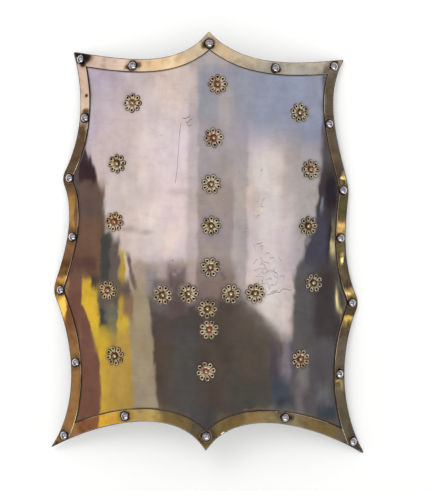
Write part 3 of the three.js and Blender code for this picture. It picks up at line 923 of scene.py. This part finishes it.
# Each screen is over those before it.
WALL = (208, 195, 191)
SCREENS = {
    "lit wall": Screen((224, 211, 208), (-30, -8.5), (-1.5, 8.5), (5, 2)),
    "lilac wall": Screen((186, 174, 190), (-90, -36), (7.5, 24), (14, 3)),
    "half bay": Screen((194, 183, 180), (-9.5, -4), (-4, 12), (1.2, 2)),
    "dim bay": Screen((160, 149, 144), (-5, 11), (-5, 12), (1, 2)),
    "dim bay side": Screen((175, 168, 165), (10.5, 16.5), (-3.4, 12), (1.2, 1)),
    "dim bay top": Screen((170, 164, 163), (-5, 14), (4, 12), (1.4, 1.6)),
    "dim bay foot": Screen((132, 117, 109), (-6, 12), (-5, -1.2), (2, 0.8)),
    "bright bay": Screen((214, 207, 203), (20, 31), (-8, 6), (3.5, 2)),
    "side bay top": Screen((176, 168, 166), (32, 60), (3, 7), (2.5, 1.5)),
    "side bay": Screen((172, 166, 165), (37, 60), (-8, 7), (4, 2)),
    "ceiling": Screen((150, 152, 163), (-5.5, 110), (7.5, 24), (2.5, 1.4), slope=-0.015),
    "ceiling patch": Screen((176, 168, 166), (3, 9), (7, 9.4), (2, 1)),
    "blue ceiling": Screen((147, 154, 174), (16, 110), (8, 24), (6, 1.3), slope=-0.04),
    "high wall": Screen((180, 172, 168), (-12, 110), (11.2, 24), (1.5, 0.5)),
    "roof": Screen((120, 117, 124), AROUND, (18, 100), (20, 6)),
    "dark side": Screen((68, 62, 67), (47, 200), (BELOW, 5.6), (0.8, 0.25), lean=0.55),
    "dark slope": Screen((72, 71, 84), (43, 200), (-1.5, 1.8), (1.5, 0.5), lean=2.5),
    "dark foot": Screen((88, 88, 90), (39.4, 200), (BELOW, -0.9), (1.4, 0.5), lean=0.4),
    "dark foot shade": Screen((68, 62, 63), (47.5, 200), (-6, -0.9), (3, 0.8)),
    "dark corner": Screen((84, 80, 82), (50, 200), (5.2, 11), (1.4, 0.8)),
    "window patch": Screen((122, 127, 142), (50.2, 51.8), (1.9, 2.8), (0.5, 0.3)),
    "brown wall": Screen((113, 87, 71), (-200, -46.8), (BELOW, 3.6), (0.9, 0.7)),
    "brown wall top": Screen((100, 84, 76), (-200, -43.2), (1.5, 4.2), (0.9, 0.4), lean=-1.9),
    "dark post": Screen((60, 46, 50), (-200, -43.4), (3.7, 5.5), (0.7, 0.25), lean=-1.9),
    "dark post side": Screen((90, 76, 71), (-200, -60), (3.6, 5.2), (1, 0.4)),
    "dark post tip": Screen((66, 52, 54), (-58.6, -56.2), (5, 6.3), (0.4, 0.3)),
    "dark post foot": Screen((86, 71, 64), (-200, -68.4), (4.7, 7.2), (0.4, 0.25), lean=1.8),
    "brown band": Screen((94, 69, 62), (-200, -50), (-1.6, -0.8), (1.5, 0.25)),
    "brown foot": Screen((115, 81, 69), (-200, -44), (BELOW, -2.2), (1, 0.3)),
    "tan side": Screen((128, 102, 78), (-200, -57), (-12, -5.6), (0.5, 0.8)),
    "curtain top": Screen((208, 174, 60), (-57.1, -36), (-3.8, -2.1), (0.4, 0.2)),
    "curtain": Screen((212, 178, 60), (-66, -43), (-7.4, -3.3), (0.5, 0.25), lean=-2.6),
    "curtain foot": Screen((194, 161, 68), (-46.8, -25), (-20, -7), (0.4, 0.3)),
    "curtain shade": Screen((176, 147, 74), (-43, -28), (-16, -5.4), (2.5, 0.6)),
    "curtain fold": Screen((182, 154, 66), (-39, -36.4), (-5, -0.4), (0.5, 0.4)),
    "pale fold": Screen((206, 194, 162), (-36.6, -35.2), (-2, -0.4), (0.3, 0.4)),
    "stone top": Screen((168, 151, 137), (-33.5, -20), (-3, -0.9), (2, 0.5)),
    "stone": Screen((160, 147, 120), (-37.2, -24), (BELOW, -2.4), (0.6, 0.9), lean=-0.6),
    "red fold": Screen((142, 112, 88), (-36.5, -32.6), (-4.6, -3), (0.8, 0.4)),
    "mauve shade": Screen((98, 86, 84), (-40, -33.7), (-3.3, -2.2), (0.9, 0.35)),
    "dark slit": Screen((110, 95, 88), (-37, -35.4), (-2.8, -0.5), (0.5, 0.3), lean=-1.7),
    "tall shade": Screen((68, 70, 66), (-48.2, -42.8), (-5.5, 0.9), (0.9, 0.4)),
    "mauve wall": Screen((102, 91, 86), (-44, -38.9), (-2.8, 0.5), (0.7, 0.6)),
    "shade point": Screen((70, 66, 62), (-52.5, -48), (-2.7, -1.9), (0.6, 0.2)),
    "low shade": Screen((98, 90, 80), (-49.3, -39.2), (-4, -2.4), (1, 0.3)),
    "low shade foot": Screen((104, 101, 90), (-45.6, -39.4), (-5, -3.8), (0.9, 0.3)),
    "low shade tip": Screen((122, 114, 84), (-44, -40), (-5.7, -4.6), (0.9, 0.4)),
    "grey wall": Screen((145, 138, 138), (-26.5, -21.5), (-3, -1.5), (1, 0.4)),
    "wall foot": Screen((178, 160, 151), (-21, -6), (-2.6, -0.8), (2, 0.5)),
    "floor": Screen((82, 73, 66), (-28, 14), (BELOW, -3.2), (0.7, 0.25), lean=-0.75),
    "floor middle": Screen((82, 80, 77), (-15, -4), (-11, -4.4), (3, 1)),
    "floor step": Screen((104, 97, 96), (-24, -8), (-4, -2.2), (1.2, 0.35)),
    "floor cloud": Screen((94, 82, 80), (-17.5, -9), (-4, -1.3), (1.4, 0.4)),
    "floor slope": Screen((86, 78, 71), (11, 200), (BELOW, -1.1), (3, 0.4), slope=-0.138),
    "low side": Screen((88, 86, 88), (34.5, 200), (BELOW, -5.6), (2, 0.4)),
    "low light": Screen((120, 118, 115), (40.5, 46), (-8.7, -6.4), (2, 0.7)),
    "low mauve": Screen((98, 92, 98), (28, 37), (-8.2, -6.2), (2, 0.6)),
    "low dark": Screen((79, 73, 79), (27.5, 31), (-8.2, -6), (1, 0.5)),
    "low lilac": Screen((122, 115, 122), (33, 37), (-8.2, -5.9), (1, 0.6)),
    "floor foot": Screen((75, 74, 69), (10, 27), (-10, -8.4), (4, 0.8)),
    "low blue": Screen((68, 75, 86), (28.5, 37), (-10.6, -8.1), (1.5, 0.5)),
    "low lilac foot": Screen((108, 103, 107), (39.5, 44), (-10.2, -8.6), (1.4, 0.4)),
    "low grey": Screen((104, 104, 106), (50.5, 56), (-9.5, -8.4), (2, 0.4)),
    "low gleam": Screen((102, 92, 70), (-22, 60), (-14, -10.15), (3, 0.2)),
    "low gleam middle": Screen((124, 110, 90), (17, 31), (-14, -9.82), (2, 0.12)),
    "low gleam left": Screen((152, 138, 96), (-31, -19.5), (-14, -10), (3, 0.2)),
    "low gleam right": Screen((122, 120, 110), (25, 43), (-14, -10.0), (4, 0.2)),
    "low blue foot": Screen((55, 60, 73), (31, 39.5), (-10, -9.2), (1.2, 0.25)),
    "far low blue": Screen((62, 70, 78), (50, 60), (-10.45, -9.6), (1.5, 0.2)),
    "toe shade": Screen((76, 74, 70), (-6.5, 5), (-12, -9.8), (1.5, 0.3)),
    "strip olive": Screen((76, 78, 66), (58.9, 80), (-0.3, 3.9), (0.5, 0.4)),
    "dark patch": Screen((44, 41, 48), (52.6, 58), (2.3, 4.4), (1.3, 0.4)),
    "dark patch foot": Screen((50, 48, 54), (53.4, 58.4), (-0.6, 1.7), (1.2, 0.5)),
    "olive glint": Screen((112, 106, 86), (55.3, 57.6), (0.4, 1.6), (0.5, 0.3)),
    "olive glint foot": Screen((190, 176, 132), (55, 57.7), (-0.2, 0.45), (0.4, 0.12)),
    "olive glint point": Screen((245, 228, 170), (56, 57.6), (-0.25, 0), (0.3, 0.06)),
    "gold glint": Screen((320, 300, 225), (58.9, 59.7), (-3.5, -2.6), (0.2, 0.12)),
    "gold glint foot": Screen((228, 208, 142), (43.2, 44.6), (-4, -3.35), (0.3, 0.1), lean=-4.6),
    "edge glint 1": Screen((290, 275, 215), (59.4, 80), (4.1, 4.35), (0.4, 0.06)),
    "edge glint 2": Screen((235, 205, 155), (58.8, 80), (0.75, 1.3), (0.4, 0.14)),
    "edge glint 3": Screen((320, 300, 225), (60, 62), (-0.65, -0.35), (0.3, 0.06)),
    "edge glint 4": Screen((255, 232, 175), (63, 80), (-2.65, -2.3), (0.4, 0.08)),
    "edge glint 5": Screen((200, 182, 115), (61.5, 80), (-4.45, -4.1), (0.5, 0.08)),
    "edge glint 6": Screen((230, 210, 155), (59.7, 63), (-8.2, -8.05), (0.4, 0.05)),
    "side brass": Screen((153, 122, 82), (-80, -61.4), (1.1, 2.9), (0.5, 0.4)),
    "side gold": Screen((225, 195, 110), (-80, -65), (-4.7, -3.1), (0.7, 0.3)),
    "side orange": Screen((182, 148, 92), (-80, -64), (-2.4, -1.9), (0.6, 0.15)),
    "side shade": Screen((80, 60, 46), (-80, -62.5), (-1.7, -1.1), (0.8, 0.2)),
    "ground": Screen((84, 80, 82), AROUND, (-100, BELOW), (20, 4)),
    "bright window": Screen((280, 280, 280), (-25, 55), (-58, -27), (8, 6)),
}


def screen_cover(t, screen, across, up):
    """How much of what is mirrored one way is a screen."""
    leant = t.math("SUBTRACT", across, t.math("MULTIPLY", up, screen.lean))
    sloped = t.math("SUBTRACT", up, t.math("MULTIPLY", across, screen.slope))
    is_across = t.within(leant, screen.across, screen.soft[0])
    return t.math("MULTIPLY", is_across, t.within(sloped, screen.up, screen.soft[1]))


def spread_noise(t, across, up, size, scale=1.0, detail=3.0):
    """Noise over directions, in lumps of a size in degrees across and up."""
    lumps = {0: t.math("DIVIDE", across, size[0]), 1: t.math("DIVIDE", up, size[1])}
    place = t.put("ShaderNodeCombineXYZ", lumps)
    return t.put("ShaderNodeTexNoise", {"Vector": place, "Scale": scale, "Detail": detail})


def make_world():
    """Plain white light, but the shield mirrors the screens."""
    world = bpy.data.worlds.new("studio")
    world.use_nodes = True
    world.cycles.sampling_method = "NONE"
    bpy.context.scene.world = world
    t = Tree(world.node_tree)
    way = t.put("ShaderNodeTexCoord", {})
    x, y, z = [
        t.put("ShaderNodeVectorMath", {0: way, 1: axis}, output=1, operation="DOT_PRODUCT")
        for axis in SHIELD.to_3x3().col
    ]
    across = t.math("DEGREES", t.math("ARCTAN2", x, z))
    out = t.math("SQRT", t.math("ADD", t.math("POWER", x, 2), t.math("POWER", z, 2)))
    up = t.math("DEGREES", t.math("ARCTAN2", y, out))
    ragged = spread_noise(t, across, up, RAGGED)
    across = t.math("ADD", across, t.between(ragged, 0.25, 0.75, -RAGGED_BY[0], RAGGED_BY[0]))
    up = t.math("ADD", up, t.between(ragged, 0.25, 0.75, RAGGED_BY[1], -RAGGED_BY[1]))
    seen = linear(WALL)
    for screen in SCREENS.values():
        seen = t.mix(screen_cover(t, screen, across, up), seen, linear(screen.colour))
    uneven = spread_noise(t, across, up, CLOUDS)
    cloudy = spread_noise(t, across, up, CLOUDS, CLOUDS_SCALE, 2.0)
    tint = t.mix(t.between(cloudy, 0.35, 0.65), (0.98, 1.0, 1.03), (1.02, 0.995, 0.97))
    strength = t.math("DIVIDE", t.between(uneven, 0.3, 0.7, *CLOUDS_LIGHT), STEEL_SHINE)
    tinted = t.put("ShaderNodeVectorMath", {0: seen, 1: tint}, operation="MULTIPLY")
    strength = t.math("MULTIPLY", strength, t.between(z, *GRAZING, GRAZING_LIGHT, 1))
    studio = t.put("ShaderNodeBackground", {"Color": tinted, "Strength": strength})
    plain = t.put("ShaderNodeBackground", {"Color": (1, 1, 1, 1), "Strength": PLAIN_LIGHT})
    is_mirrored = t.put("ShaderNodeLightPath", {}, output="Is Glossy Ray")
    both = t.put("ShaderNodeMixShader", {0: is_mirrored, 1: plain, 2: studio})
    t.put("ShaderNodeOutputWorld", {"Surface": both})


def make_lights():
    light = bpy.data.lights.new("key", "AREA")
    light.shape = "DISK"
    light.size = KEY_SIZE
    light.energy = KEY_POWER
    key = bpy.data.objects.new("key", light)
    bpy.context.scene.collection.objects.link(key)
    key.location = KEY_AT
    key.rotation_euler = (-key.location).to_track_quat("-Z", "Y").to_euler()
    key.visible_glossy = False


def make_floor(material):
    half = FLOOR_HALF
    corners = [(-half, -half, 0), (half, -half, 0), (half, half, 0), (-half, half, 0)]
    mesh = bpy.data.meshes.new("floor")
    mesh.from_pydata(corners, [], [(0, 1, 2, 3)])
    mesh.materials.append(material)
    floor = bpy.data.objects.new("floor", mesh)
    bpy.context.scene.collection.objects.link(floor)


def make_camera():
    """Straight out from the middle of the shield, which looks turned clockwise a little."""
    camera = bpy.data.cameras.new("camera")
    camera.lens = CAMERA_LENS
    place = bpy.data.objects.new("camera", camera)
    bpy.context.scene.collection.objects.link(place)
    spot = Matrix.Translation(CAMERA_AT) @ Matrix.Rotation(CAMERA_TURN, 4, "Z")
    place.matrix_world = SHIELD @ spot
    bpy.context.scene.camera = place


# ---- the whole -------------------------------------------------------------------------------------------

make_plate(plate_steel())
make_strips(edging_brass())
make_rivets(rivet_steel())
make_rosettes(rosette_brass(), stud_copper())
make_world()
make_lights()
make_floor(pale_floor())
make_camera()
bpy.context.scene.view_settings.view_transform = "Standard"
